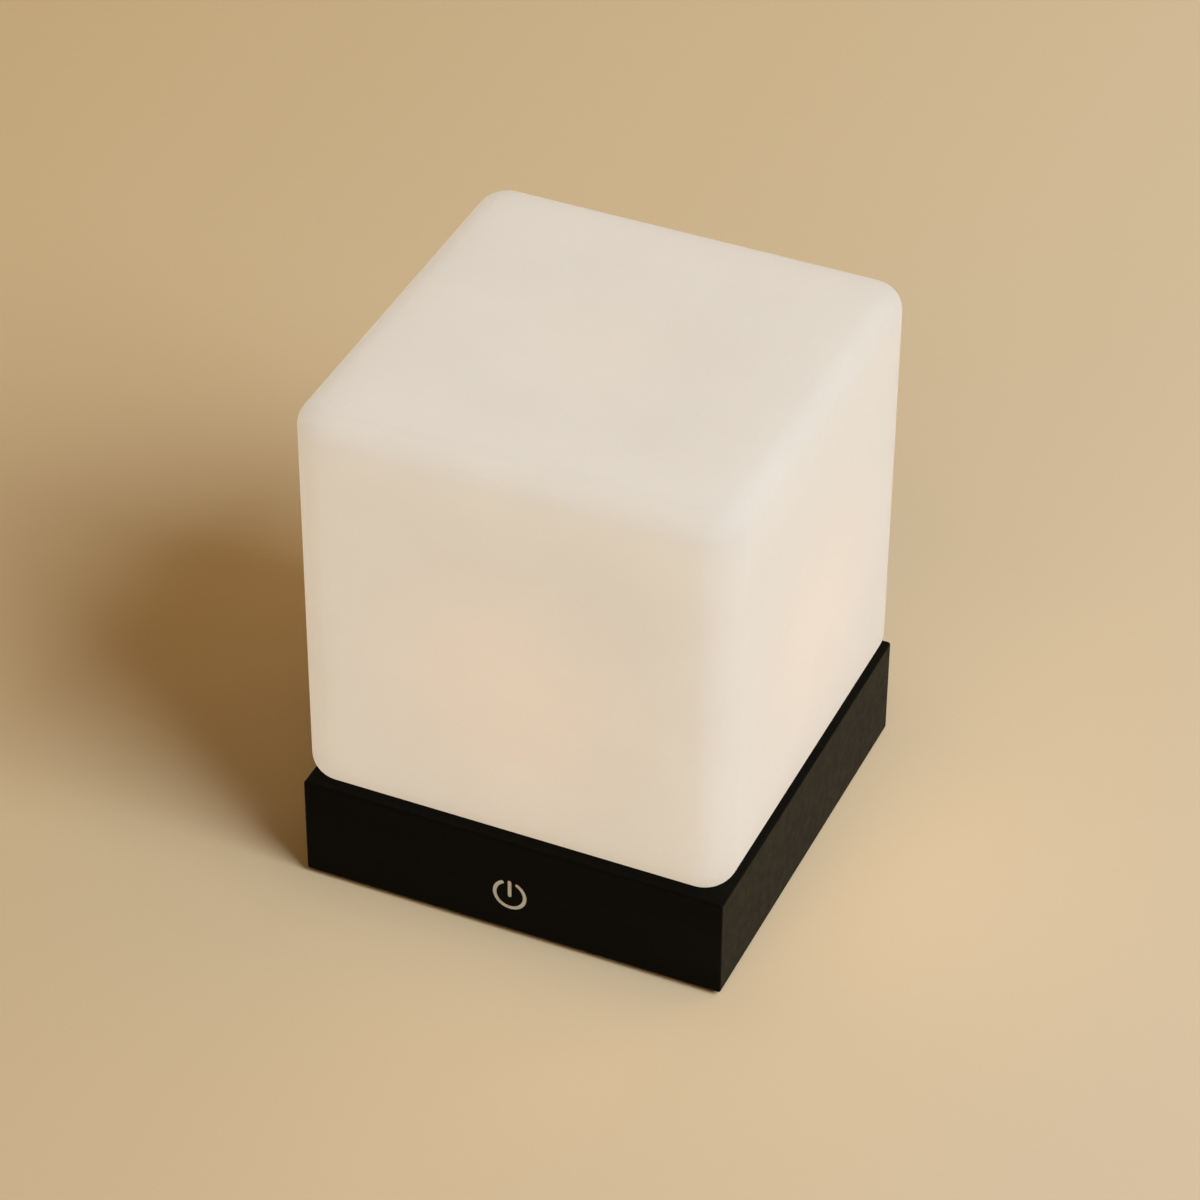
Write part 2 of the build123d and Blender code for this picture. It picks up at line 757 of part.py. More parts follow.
def bottom_cover():
    """Plate that closes the base, with posts for the board and ribs beside the pouch."""
    cover = level_block(cover_side, cover_side, cover_corner_round, base_bottom, cover_top)
    cover = chamfer(cover.edges().group_by(Axis.Z)[0], cover_edge_chamfer)
    for x, y in board_screw_places():
        cover += post(x, y, board_post_diameter, cover_top, board_bottom)
        cover -= post(x, y, board_screw_shank + 2 * screw_grip_gap,
                      board_top - board_screw_length - screw_grip_gap, board_bottom + cut_over)
    for edge in (battery_front - rib_gap - rib_thickness, battery_rear + rib_gap):
        cover += slab((rib_length, rib_thickness, rib_height), (-rib_length / 2, edge, cover_top))
    for x, y in corners(foot_place):
        cover -= post(x, y, foot_diameter, base_bottom - cut_over, foot_top)
    for x, y in corners(cover_screw_place):
        cover -= post(x, y, cover_screw_head + 2 * screw_hole_gap,
                      base_bottom - cut_over, base_bottom + cover_screw_sink)
        cone = Cone(cover_screw_head / 2, cover_screw_shank / 2, cover_screw_head_depth,
                    align=(Align.CENTER, Align.CENTER, Align.MIN))
        cover -= Pos(x, y, base_bottom + cover_screw_sink) * cone
        cover -= post(x, y, cover_screw_shank + 2 * screw_hole_gap, base_bottom, cover_top + cut_over)
    return cover


def cover_screws():
    """Four countersunk screws, driven from below."""
    screw = Rot(180, 0, 0) * flat_screw(cover_screw_head, cover_screw_head_depth,
                                        cover_screw_shank, cover_screw_length)
    level = base_bottom + cover_screw_sink
    return Compound([Pos(x, y, level) * screw for x, y in corners(cover_screw_place)])


def rubber_feet():
    """Four round pads in shallow seats of the cover."""
    pad = post(0, 0, foot_diameter, 0, foot_top)
    pad = fillet(pad.edges().group_by(Axis.Z)[0], foot_edge_round)
    return Compound([Pos(x, y, 0) * pad for x, y in corners(foot_place)])


pieces = {
    "base_block": base_block(),
    "power_symbol": power_symbol(),
    "shade": shade(),
    "shade_gasket": shade_gasket(),
    "led_pedestal": led_pedestal(),
    "grip_band": grip_band(),
    "pedestal_screws": pedestal_screws(),
    "led_board": led_board(),
    "led_chips": led_chips(),
    "led_phosphors": led_phosphors(),
    "led_board_screws": led_board_screws(),
    "led_wire_positive": led_wire(1),
    "led_wire_negative": led_wire(-1),
    "led_solder_joints": led_solder_joints(),
    "wire_grommet": wire_grommet(),
    "battery_pack": battery_pack(),
    "battery_guard_board": battery_guard_board(),
    "battery_tape": battery_tape(),
    "battery_wire_positive": battery_wire(0),
    "battery_wire_negative": battery_wire(1),
    "control_board": control_board(),
    "charge_chip": chip(charge_chip_size, charge_chip_place),
    "driver_chip": chip(driver_chip_size, driver_chip_place),
    "boost_inductor": boost_inductor(),
    "filter_capacitors": filter_capacitors(),
    "board_screws": board_screws(),
    "touch_board": touch_board(),
    "touch_electrode": touch_electrode(),
    "touch_tape": touch_tape(),
    "touch_chip": touch_chip(),
    "touch_wires": touch_wires(),
    "usb_socket": usb_socket(),
    "usb_tongue": usb_tongue(),
    "port_bezel": port_bezel(),
    "port_flap": port_flap(),
    "bottom_cover": bottom_cover(),
    "cover_screws": cover_screws(),
    "rubber_feet": rubber_feet(),
}

os.makedirs("parts", exist_ok=True)
for name, shape in pieces.items():
    export_step(shape, f"parts/{name}.step")
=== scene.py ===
import math

import bmesh
import bpy
from mathutils import Matrix, Vector


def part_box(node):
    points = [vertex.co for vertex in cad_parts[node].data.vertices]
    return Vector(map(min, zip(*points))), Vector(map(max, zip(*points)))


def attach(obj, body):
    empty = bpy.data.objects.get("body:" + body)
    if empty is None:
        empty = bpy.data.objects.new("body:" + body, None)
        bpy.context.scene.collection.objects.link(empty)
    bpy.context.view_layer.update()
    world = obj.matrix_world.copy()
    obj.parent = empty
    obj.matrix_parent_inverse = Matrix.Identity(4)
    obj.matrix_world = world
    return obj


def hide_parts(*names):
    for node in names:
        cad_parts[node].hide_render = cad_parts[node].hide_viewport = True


# Dressing of the cube lamp: an opal shade on a black wooden base, lit low, on a sand-coloured table.
# Everything is in metres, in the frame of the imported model.

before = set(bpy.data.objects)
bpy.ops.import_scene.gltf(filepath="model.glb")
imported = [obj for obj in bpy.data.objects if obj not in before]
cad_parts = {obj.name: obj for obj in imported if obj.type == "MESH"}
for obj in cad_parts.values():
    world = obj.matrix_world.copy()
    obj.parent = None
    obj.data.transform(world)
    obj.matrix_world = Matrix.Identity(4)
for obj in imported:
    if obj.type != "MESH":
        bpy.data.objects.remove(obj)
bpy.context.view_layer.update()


# Colour and node helpers

def screen(red, green, blue):
    """Colour given as it looks on a screen, 0 to 255, turned into linear light."""
    linear = []
    for level in (red, green, blue):
        share = level / 255
        linear.append(share / 12.92 if share <= 0.04045 else ((share + 0.055) / 1.055) ** 2.4)
    return (*linear, 1.0)


class Finish:
    """One material: its shader and the small set of textures that drive it."""

    def __init__(self, name):
        self.material = bpy.data.materials.new(name)
        self.material.use_nodes = True
        self.nodes = self.material.node_tree.nodes
        self.links = self.material.node_tree.links
        self.shader = self.nodes["Principled BSDF"]
        self.place = self.nodes.new("ShaderNodeTexCoord").outputs["Object"]
        self.last_relief = None

    def set(self, **values):
        """Plain values on the shader's own sockets."""
        for name, value in values.items():
            socket = name.replace("_", " ").title().replace("Ior", "IOR")
            self.shader.inputs[socket].default_value = value
        return self

    def spread(self, scale, stretch):
        """Place in features per metre, stretched along the axes."""
        mapping = self.nodes.new("ShaderNodeMapping")
        mapping.inputs["Scale"].default_value = [scale * share for share in stretch]
        self.links.new(self.place, mapping.inputs["Vector"])
        return mapping.outputs["Vector"]

    def cloud(self, scale, stretch=(1, 1, 1), detail=4.0, rough=0.5):
        """Noise with a number of features per metre, stretched along the axes."""
        noise = self.nodes.new("ShaderNodeTexNoise")
        noise.inputs["Scale"].default_value = 1.0
        noise.inputs["Detail"].default_value = detail
        noise.inputs["Roughness"].default_value = rough
        self.links.new(self.spread(scale, stretch), noise.inputs["Vector"])
        return noise.outputs["Fac"]

    def cells(self, scale, stretch=(1, 1, 1)):
        """Distance to scattered points, for pores and grains."""
        points = self.nodes.new("ShaderNodeTexVoronoi")
        points.inputs["Scale"].default_value = 1.0
        self.links.new(self.spread(scale, stretch), points.inputs["Vector"])
        return points.outputs["Distance"]

    def ramp(self, amount, stops):
        """Colours along an amount; stops are (position, colour)."""
        ramp = self.nodes.new("ShaderNodeValToRGB")
        marks = ramp.color_ramp.elements
        while len(marks) < len(stops):
            marks.new(0.5)
        for mark, (position, colour) in zip(marks, stops):
            mark.position = position
            mark.color = colour
        self.links.new(amount, ramp.inputs["Fac"])
        return ramp.outputs["Color"]

    def remap(self, amount, low, high, start=0.3, stop=0.7, smooth=False):
        """Amount from start to stop, spread between two values."""
        remap = self.nodes.new("ShaderNodeMapRange")
        remap.interpolation_type = "SMOOTHSTEP" if smooth else "LINEAR"
        remap.inputs["From Min"].default_value = start
        remap.inputs["From Max"].default_value = stop
        remap.inputs["To Min"].default_value = low
        remap.inputs["To Max"].default_value = high
        self.links.new(amount, remap.inputs["Value"])
        return remap.outputs["Result"]

    def along(self, direction, start, stop):
        """Share of the way from start to stop, in metres along a direction."""
        reach = self.nodes.new("ShaderNodeVectorMath")
        reach.operation = "DOT_PRODUCT"
        reach.inputs[1].default_value = direction
        self.links.new(self.place, reach.inputs[0])
        return self.remap(reach.outputs["Value"], 0.0, 1.0, start=start, stop=stop)

    def colour(self, source):
        self.links.new(source, self.shader.inputs["Base Color"])
        return self

    def roughness(self, amount, low, high):
        self.links.new(self.remap(amount, low, high), self.shader.inputs["Roughness"])
        return self

    def relief(self, height, depth, strength=1.0):
        """Bump of a depth in metres; a second call goes on top of the first."""
        bump = self.nodes.new("ShaderNodeBump")
        bump.inputs["Strength"].default_value = strength
        bump.inputs["Distance"].default_value = depth
        self.links.new(height, bump.inputs["Height"])
        if self.last_relief:
            self.links.new(self.last_relief, bump.inputs["Normal"])
        self.last_relief = bump.outputs["Normal"]
        self.links.new(self.last_relief, self.shader.inputs["Normal"])
        return self


# Finishes of the lamp

def black_stained_wood():
    """Close-grained wood, stained black under satin lacquer, grain along X."""
    wood = Finish("black_stained_wood").set(ior=1.12)
    fibres = wood.cloud(420, (0.035, 1, 1), detail=8, rough=0.6)
    figure = wood.cloud(55, (0.12, 1, 1), detail=3)
    pores = wood.cells(1500, (0.05, 1, 1))
    wood.colour(wood.ramp(figure, [
        (0.30, (0.0015, 0.0014, 0.0009, 1)),
        (0.55, (0.0024, 0.0022, 0.0014, 1)),
        (0.75, (0.0038, 0.0034, 0.0022, 1)),
    ]))
    wood.roughness(fibres, 0.36, 0.46)
    wood.relief(fibres, 0.00005, 0.35)
    wood.relief(pores, 0.00002, 0.25)
    return wood.material


# Centre and reach of the painted glow on the opal shade, in metres.
PAINTED_GLOW_MIDDLE = (0.0, 0.0, 0.067)
PAINTED_GLOW_FULL = 0.030
PAINTED_GLOW_END = 0.067


def opal_with_painted_glow():
    """Etched opal wall with faint clouds; its emission is painted glow, warmest round the middle, for
    the inner light and for studio light carried through the wall.
    """
    opal = Finish("opal_with_painted_glow").set(roughness=0.62, specular_ior_level=0.15, ior=1.45,
                                    subsurface_weight=1.0, subsurface_scale=0.030)
    opal.shader.subsurface_method = "BURLEY"
    opal.shader.inputs["Subsurface Radius"].default_value = (1.0, 0.92, 0.80)
    clouds = opal.cloud(38, detail=5, rough=0.55)
    opal.colour(opal.ramp(clouds, [
        (0.30, (0.279, 0.277, 0.271, 1)),
        (0.55, (0.290, 0.289, 0.283, 1)),
        (0.78, (0.301, 0.301, 0.295, 1)),
    ]))
    grain = opal.cloud(2600, detail=2)
    swell = opal.cloud(70, detail=2)
    opal.relief(swell, 0.0004, 0.12)
    opal.relief(grain, 0.00001, 0.35)

    # Painted glow: emission strongest within a short reach of the shade's middle and fading outwards,
    # for the inner light and studio light carried through the opal.
    middle = opal.nodes.new("ShaderNodeVectorMath")
    middle.operation = "DISTANCE"
    middle.inputs[1].default_value = PAINTED_GLOW_MIDDLE
    opal.links.new(opal.place, middle.inputs[0])
    reach = opal.remap(middle.outputs["Value"], 0.0, 1.0, start=PAINTED_GLOW_FULL, stop=PAINTED_GLOW_END, smooth=True)
    painted_glow = opal.ramp(reach, [
        (0.0, (0.557, 0.390, 0.265, 1)),
        (1.0, (0.397, 0.336, 0.264, 1)),
    ])
    opal.links.new(painted_glow, opal.shader.inputs["Emission Color"])
    opal.shader.inputs["Emission Strength"].default_value = 1.0
    return opal.material


def champagne_inlay():
    """Pale warm filling of the touch symbol."""
    inlay = Finish("champagne_inlay").set(specular_ior_level=0.4)
    specks = inlay.cloud(2200, detail=3)
    inlay.colour(inlay.ramp(specks, [
        (0.35, (0.620, 0.575, 0.485, 1)),
        (0.70, (0.720, 0.675, 0.575, 1)),
    ]))
    inlay.roughness(specks, 0.42, 0.55)
    inlay.relief(specks, 0.00001, 0.4)
    return inlay.material


def milky_silicone():
    """Soft translucent silicone of the seat and the grip band."""
    silicone = Finish("milky_silicone").set(subsurface_weight=0.4, subsurface_scale=0.0015,
                                            specular_ior_level=0.35)
    haze = silicone.cloud(300, detail=3)
    silicone.colour(silicone.ramp(haze, [
        (0.30, (0.560, 0.540, 0.495, 1)),
        (0.70, (0.640, 0.620, 0.575, 1)),
    ]))
    silicone.roughness(haze, 0.46, 0.58)
    silicone.relief(silicone.cloud(3200, detail=2), 0.00001, 0.4)
    return silicone.material


def moulded_plastic(name, dark, light, low_rough, high_rough):
    """Injection moulding with a fine spark-eroded texture."""
    plastic = Finish(name).set(specular_ior_level=0.45)
    tone = plastic.cloud(110, detail=3)
    texture = plastic.cloud(3600, detail=3, rough=0.6)
    plastic.colour(plastic.ramp(tone, [(0.30, dark), (0.70, light)]))
    plastic.roughness(texture, low_rough, high_rough)
    plastic.relief(texture, 0.00002, 0.5)
    return plastic.material


def soft_rubber(name, dark, light):
    """Matte soft moulding with a dusty bloom."""
    rubber = Finish(name).set(specular_ior_level=0.3, sheen_weight=0.08, sheen_roughness=0.5)
    bloom = rubber.cloud(160, detail=5, rough=0.6)
    texture = rubber.cloud(4200, detail=2)
    rubber.colour(rubber.ramp(bloom, [(0.30, dark), (0.72, light)]))
    rubber.roughness(bloom, 0.62, 0.76)
    rubber.relief(texture, 0.000015, 0.5)
    return rubber.material


def plated_metal(name, dark, light, low_rough, high_rough, scratch=(1, 1, 0.05)):
    """Bright plating with fine tool marks and slight tarnish."""
    metal = Finish(name).set(metallic=1.0)
    tarnish = metal.cloud(420, detail=5, rough=0.6)
    marks = metal.cloud(5200, scratch, detail=3)
    metal.colour(metal.ramp(tarnish, [(0.28, dark), (0.72, light)]))
    metal.roughness(marks, low_rough, high_rough)
    metal.relief(marks, 0.000006, 0.35)
    return metal.material


def solder_mask(name, dark, light, weave):
    """Coated circuit board with the weave of its cloth faintly showing."""
    mask = Finish(name).set(specular_ior_level=0.5, coat_weight=0.25, coat_roughness=0.25)
    cloth_x = mask.nodes.new("ShaderNodeTexWave")
    cloth_x.bands_direction = "X"
    cloth_y = mask.nodes.new("ShaderNodeTexWave")
    cloth_y.bands_direction = "Y"
    for cloth in (cloth_x, cloth_y):
        cloth.inputs["Scale"].default_value = weave
        cloth.inputs["Distortion"].default_value = 0.6
        mask.links.new(mask.place, cloth.inputs["Vector"])
    weft = mask.nodes.new("ShaderNodeMath")
    weft.operation = "MULTIPLY"
    mask.links.new(cloth_x.outputs["Fac"], weft.inputs[0])
    mask.links.new(cloth_y.outputs["Fac"], weft.inputs[1])
    tone = mask.cloud(180, detail=4)
    mask.colour(mask.ramp(tone, [(0.30, dark), (0.70, light)]))
    mask.roughness(tone, 0.34, 0.46)
    mask.relief(weft.outputs["Value"], 0.000012, 0.4)
    return mask.material


def lit_phosphor():
    """Yellow gel of the light chips, burning low."""
    gel = Finish("lit_phosphor").set(roughness=0.4, subsurface_weight=0.3, subsurface_scale=0.0006)
    grains = gel.cloud(2600, detail=3)
    gel.colour(gel.ramp(grains, [
        (0.30, (0.80, 0.50, 0.08, 1)),
        (0.70, (0.92, 0.64, 0.14, 1)),
    ]))
    gel.links.new(gel.remap(grains, 1.6, 2.2), gel.shader.inputs["Emission Strength"])
    gel.shader.inputs["Emission Color"].default_value = (1.0, 0.74, 0.42, 1)
    return gel.material


def lead_sleeve(name, dark, light):
    """Soft extruded sleeve of a lead."""
    sleeve = Finish(name).set(specular_ior_level=0.5)
    tone = sleeve.cloud(500, detail=3)
    sleeve.colour(sleeve.ramp(tone, [(0.30, dark), (0.70, light)]))
    sleeve.roughness(tone, 0.34, 0.48)
    sleeve.relief(sleeve.cloud(2400, detail=2), 0.000012, 0.4)
    return sleeve.material


def pouch_foil():
    """Dull laminated foil of the battery pouch."""
    foil = Finish("pouch_foil").set(metallic=0.75)
    creases = foil.cloud(170, (1, 0.4, 1), detail=6, rough=0.65)
    foil.colour(foil.ramp(creases, [(0.28, (0.40, 0.41, 0.43, 1)), (0.72, (0.53, 0.54, 0.56, 1))]))
    foil.roughness(creases, 0.36, 0.52)
    foil.relief(creases, 0.0002, 0.35)
    return foil.material


def foam_pad():
    """Open grey foam of the adhesive pads."""
    foam = Finish("foam_pad").set(specular_ior_level=0.15)
    holes = foam.cells(1400)
    foam.colour(foam.ramp(holes, [(0.15, (0.10, 0.10, 0.105, 1)), (0.60, (0.23, 0.23, 0.235, 1))]))
    foam.roughness(holes, 0.85, 0.95)
    foam.relief(holes, 0.0002, 0.6)
    return foam.material


# Modelling helpers

def start_cube(name, size, middle):
    """A cube of a size at a place, alone in the selection, with its scale applied."""
    bpy.ops.object.select_all(action="DESELECT")
    bpy.ops.mesh.primitive_cube_add(size=1, location=middle)
    piece = bpy.context.object
    piece.name = name
    piece.data.name = name
    bpy.ops.transform.resize(value=size)
    bpy.ops.object.transform_apply(location=True, rotation=True, scale=True)
    return piece


def select_edges(piece, test):
    """In edit mode, select the edges whose two ends pass a test."""
    bpy.ops.mesh.select_mode(type="EDGE")
    bpy.ops.mesh.select_all(action="DESELECT")
    mesh = bmesh.from_edit_mesh(piece.data)
    for edge in mesh.edges:
        edge.select_set(test(edge.verts[0].co, edge.verts[1].co))
    bmesh.update_edit_mesh(piece.data)


def select_faces(piece, test):
    """In edit mode, select the faces whose middle and normal pass a test."""
    bpy.ops.mesh.select_mode(type="FACE")
    bpy.ops.mesh.select_all(action="DESELECT")
    mesh = bmesh.from_edit_mesh(piece.data)
    for face in mesh.faces:
        face.select_set(test(face.calc_center_median(), face.normal))
    bmesh.update_edit_mesh(piece.data)


def copies(piece, places):
    """Copy a piece to each place, every copy with its own mesh, and join them all in the first."""
    made = [piece]
    for turn in places[1:]:
        bpy.ops.object.select_all(action="DESELECT")
        piece.select_set(True)
        bpy.context.view_layer.objects.active = piece
        bpy.ops.object.duplicate(linked=False)
        copy = bpy.context.object
        copy.matrix_world = turn
        made.append(copy)
    piece.matrix_world = places[0]
    bpy.ops.object.select_all(action="DESELECT")
    for one in made:
        one.select_set(True)
    bpy.context.view_layer.objects.active = piece
    bpy.ops.object.transform_apply(location=True, rotation=True, scale=True)
    bpy.ops.object.join()
    return piece


def wear(piece, finish):
    """Give a piece one finish."""
    piece.data.materials.clear()
    piece.data.materials.append(finish)


# Opal shade

SHADE_CORNER_ROUND = 0.0075
SHADE_TOP_ROUND = 0.0055
SHADE_BOTTOM_ROUND = 0.0060
SHADE_WALL = 0.0030
SHADE_OPENING = 0.0680
SHADE_OPENING_ROUND = 0.0120
SHADE_LIP_ROUND = 0.0012
CORNER_STEPS = 16
ROUND_STEPS = 12
LIP_STEPS = 5
NEAR = 0.00002


def opal_shade(finish):
    """Rounded cube with a rounded-square opening below, given its wall and a soft lip."""
    low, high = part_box("shade")
    shade = start_cube("opal_shade", high - low, (low + high) / 2)
    bpy.ops.object.mode_set(mode="EDIT")
    select_edges(shade, lambda a, b: abs(a.z - b.z) > SHADE_OPENING)
    bpy.ops.mesh.bevel(offset=SHADE_CORNER_ROUND, segments=CORNER_STEPS, affect="EDGES")
    select_edges(shade, lambda a, b: min(a.z, b.z) > high.z - NEAR)
    bpy.ops.mesh.bevel(offset=SHADE_TOP_ROUND, segments=ROUND_STEPS, affect="EDGES")
    select_edges(shade, lambda a, b: max(a.z, b.z) < low.z + NEAR)
    bpy.ops.mesh.bevel(offset=SHADE_BOTTOM_ROUND, segments=ROUND_STEPS, affect="EDGES")

    # Opening in the floor
    select_faces(shade, lambda middle, normal: middle.z < low.z + NEAR and normal.z < -0.99)
    bpy.ops.mesh.delete(type="ONLY_FACE")
    bpy.ops.mesh.primitive_plane_add(size=SHADE_OPENING, location=(0, 0, low.z))
    bpy.ops.mesh.bevel(offset=SHADE_OPENING_ROUND, segments=CORNER_STEPS, affect="VERTICES")
    bpy.ops.mesh.delete(type="ONLY_FACE")
    select_edges(shade, lambda a, b: max(a.z, b.z) < low.z + NEAR)
    bpy.ops.mesh.bridge_edge_loops()
    bpy.ops.mesh.select_all(action="SELECT")
    bpy.ops.mesh.normals_make_consistent(inside=False)
    bpy.ops.object.mode_set(mode="OBJECT")

    wall = shade.modifiers.new("wall", "SOLIDIFY")
    wall.thickness = SHADE_WALL
    wall.offset = -1
    wall.use_even_offset = True
    bpy.ops.object.modifier_apply(modifier=wall.name)

    # Soft lip round the opening
    bpy.ops.object.mode_set(mode="EDIT")
    reach = SHADE_OPENING / 2 + NEAR
    select_edges(shade, lambda a, b: max(abs(a.x), abs(a.y), abs(b.x), abs(b.y)) < reach
                 and max(a.z, b.z) < low.z + 2 * SHADE_WALL and abs(a.z - b.z) < NEAR)
    bpy.ops.mesh.bevel(offset=SHADE_LIP_ROUND, segments=LIP_STEPS, affect="EDGES")
    bpy.ops.object.mode_set(mode="OBJECT")

    bpy.ops.object.shade_smooth()
    even = shade.modifiers.new("even_faces", "WEIGHTED_NORMAL")
    even.weight = 100
    bpy.ops.object.modifier_apply(modifier=even.name)
    wear(shade, finish)
    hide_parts("shade")
    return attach(shade, "shade")


# Small metalwork that the solids leave plain

LED_COUNT = 12
LED_RING_RADIUS = 0.014
LED_FIRST_TURN = 15
LED_END = 0.00175
TERMINAL_SIZE = Vector((0.0018, 0.0006, 0.00034))
TERMINAL_SLOPE = 0.00030
TERMINAL_SLOPE_STEPS = 5
TERMINAL_HOLLOW = 0.3
TERMINAL_CORNER = 0.00010
TERMINAL_CORNER_STEPS = 2
TERMINAL_CREASE = 40


def led_terminals(finish):
    """Solder fillets at both ends of every light chip."""
    board_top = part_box("led_board")[1].z
    fillet = start_cube("led_terminals", TERMINAL_SIZE, (0, 0, TERMINAL_SIZE.z / 2))
    bpy.ops.object.mode_set(mode="EDIT")
    select_edges(fillet, lambda a, b: min(a.z, b.z) > TERMINAL_SIZE.z - NEAR / 2 and min(a.y, b.y) > 0)
    bpy.ops.mesh.bevel(offset=TERMINAL_SLOPE, segments=TERMINAL_SLOPE_STEPS,
                       profile=TERMINAL_HOLLOW, affect="EDGES")
    select_edges(fillet, lambda a, b: abs(a.x - b.x) < NEAR / 4 and abs(a.z - b.z) > NEAR)
    bpy.ops.mesh.bevel(offset=TERMINAL_CORNER, segments=TERMINAL_CORNER_STEPS, affect="EDGES")
    bpy.ops.object.mode_set(mode="OBJECT")
    bpy.ops.object.shade_smooth_by_angle(angle=math.radians(TERMINAL_CREASE))
    places = []
    for index in range(LED_COUNT):
        turn = Matrix.Rotation(math.radians(LED_FIRST_TURN + 360 / LED_COUNT * index), 4, "Z")
        for side in (0, math.pi):
            flip = Matrix.Rotation(side, 4, "Z")
            out = Matrix.Translation((LED_RING_RADIUS, 0, board_top)) @ flip
            places.append(turn @ out @ Matrix.Translation((0, LED_END + TERMINAL_SIZE.y / 2, 0)))
    terminals = copies(fillet, places)
    wear(terminals, finish)
    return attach(terminals, "base")


CONTACT_COUNT = 12
CONTACT_PITCH = 0.0005
CONTACT_SIZE = Vector((0.00028, 0.0034, 0.00006))
CONTACT_CORNER = 0.00010
CONTACT_CORNER_STEPS = 3
CONTACT_SETBACK = 0.0003


def inlet_contacts(finish):
    """Gold strips above and below the tongue of the charging inlet."""
    low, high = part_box("usb_tongue")
    strip = start_cube("inlet_contacts", CONTACT_SIZE, (0, 0, 0))
    bpy.ops.object.mode_set(mode="EDIT")
    select_edges(strip, lambda a, b: abs(a.z - b.z) > CONTACT_SIZE.z / 2)
    bpy.ops.mesh.bevel(offset=CONTACT_CORNER, segments=CONTACT_CORNER_STEPS, affect="EDGES")
    bpy.ops.object.mode_set(mode="OBJECT")
    end = high.y - CONTACT_SETBACK - CONTACT_SIZE.y / 2
    first = -(CONTACT_COUNT - 1) / 2 * CONTACT_PITCH
    places = [Matrix.Translation((first + index * CONTACT_PITCH, end, level))
              for index in range(CONTACT_COUNT) for level in (low.z, high.z)]
    contacts = copies(strip, places)
    wear(contacts, finish)
    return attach(contacts, "base")


# Finishes on the solids

def dress_solids():
    """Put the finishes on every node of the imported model."""
    steel = plated_metal("zinc_plated_steel", (0.46, 0.46, 0.47, 1), (0.62, 0.62, 0.63, 1), 0.26, 0.40)
    rubber = soft_rubber("soft_black_rubber", (0.010, 0.010, 0.010, 1), (0.020, 0.020, 0.019, 1))
    black = moulded_plastic("moulded_black", (0.010, 0.010, 0.009, 1), (0.017, 0.016, 0.014, 1),
                            0.44, 0.58)
    white = moulded_plastic("moulded_white", (0.66, 0.645, 0.61, 1), (0.74, 0.725, 0.69, 1), 0.42, 0.55)
    green = solder_mask("green_solder_mask", (0.012, 0.085, 0.030, 1), (0.022, 0.125, 0.046, 1), 420)
    epoxy = moulded_plastic("chip_epoxy", (0.012, 0.012, 0.013, 1), (0.024, 0.024, 0.026, 1),
                            0.42, 0.56)
    silicone = milky_silicone()
    red_sleeve = lead_sleeve("red_sleeve", (0.36, 0.014, 0.012, 1), (0.48, 0.026, 0.020, 1))
    black_sleeve = lead_sleeve("black_sleeve", (0.012, 0.012, 0.012, 1), (0.024, 0.024, 0.024, 1))
    white_sleeve = lead_sleeve("white_sleeve", (0.58, 0.58, 0.55, 1), (0.70, 0.70, 0.67, 1))
    foam = foam_pad()
    finishes = {
        "base_block": black_stained_wood(),
        "power_symbol": champagne_inlay(),
        "shade_gasket": silicone,
        "grip_band": silicone,
        "led_pedestal": white,
        "pedestal_screws": steel,
        "led_board": solder_mask(
            "white_solder_mask", (0.70, 0.70, 0.67, 1), (0.78, 0.78, 0.75, 1), 520),
        "led_chips": moulded_plastic(
            "led_package", (0.68, 0.66, 0.60, 1), (0.78, 0.76, 0.70, 1), 0.30, 0.42),
        "led_phosphors": lit_phosphor(),
        "led_board_screws": steel,
        "led_wire_positive": red_sleeve,
        "led_wire_negative": black_sleeve,
        "wire_grommet": rubber,
        "battery_pack": pouch_foil(),
        "battery_guard_board": green,
        "battery_tape": foam,
        "battery_wire_positive": red_sleeve,
        "battery_wire_negative": black_sleeve,
        "control_board": green,
        "charge_chip": epoxy,
        "driver_chip": epoxy,
        "boost_inductor": moulded_plastic(
            "dull_ferrite", (0.030, 0.030, 0.033, 1), (0.052, 0.052, 0.056, 1), 0.60, 0.75),
        "filter_capacitors": moulded_plastic(
            "tan_ceramic", (0.34, 0.23, 0.13, 1), (0.43, 0.30, 0.18, 1), 0.38, 0.50),
        "board_screws": steel,
        "touch_board": green,
        "touch_electrode": plated_metal(
            "copper_foil", (0.72, 0.36, 0.20, 1), (0.86, 0.48, 0.28, 1), 0.28, 0.42),
        "touch_tape": foam,
        "touch_chip": epoxy,
        "touch_wires": white_sleeve,
        "usb_socket": steel,
        "usb_tongue": epoxy,
        "port_bezel": black,
        "port_flap": rubber,
        "bottom_cover": black,
        "cover_screws": plated_metal(
            "blackened_steel", (0.020, 0.020, 0.021, 1), (0.040, 0.040, 0.042, 1), 0.36, 0.50),
        "rubber_feet": rubber,
    }
    solder = plated_metal("bright_solder", (0.56, 0.56, 0.58, 1), (0.70, 0.70, 0.72, 1),
                          0.20, 0.34, (1, 1, 1))
    gold = plated_metal("contact_gold", (0.80, 0.56, 0.20, 1), (0.92, 0.68, 0.30, 1),
                        0.20, 0.32, (1, 0.1, 1))
    opal = opal_with_painted_glow()
    finishes["led_solder_joints"] = solder
    finishes["shade"] = opal
    for node, finish in finishes.items():
        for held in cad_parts[node].material_slots:
            held.material = finish
    opal_shade(opal)
    led_terminals(solder)
    inlet_contacts(gold)


# Table, light and camera

TABLE_SIDE = 8
PICTURE_RIGHT = (0.915, 0.404, 0.0)
PICTURE_AWAY = (-0.404, 0.915, 0.0)
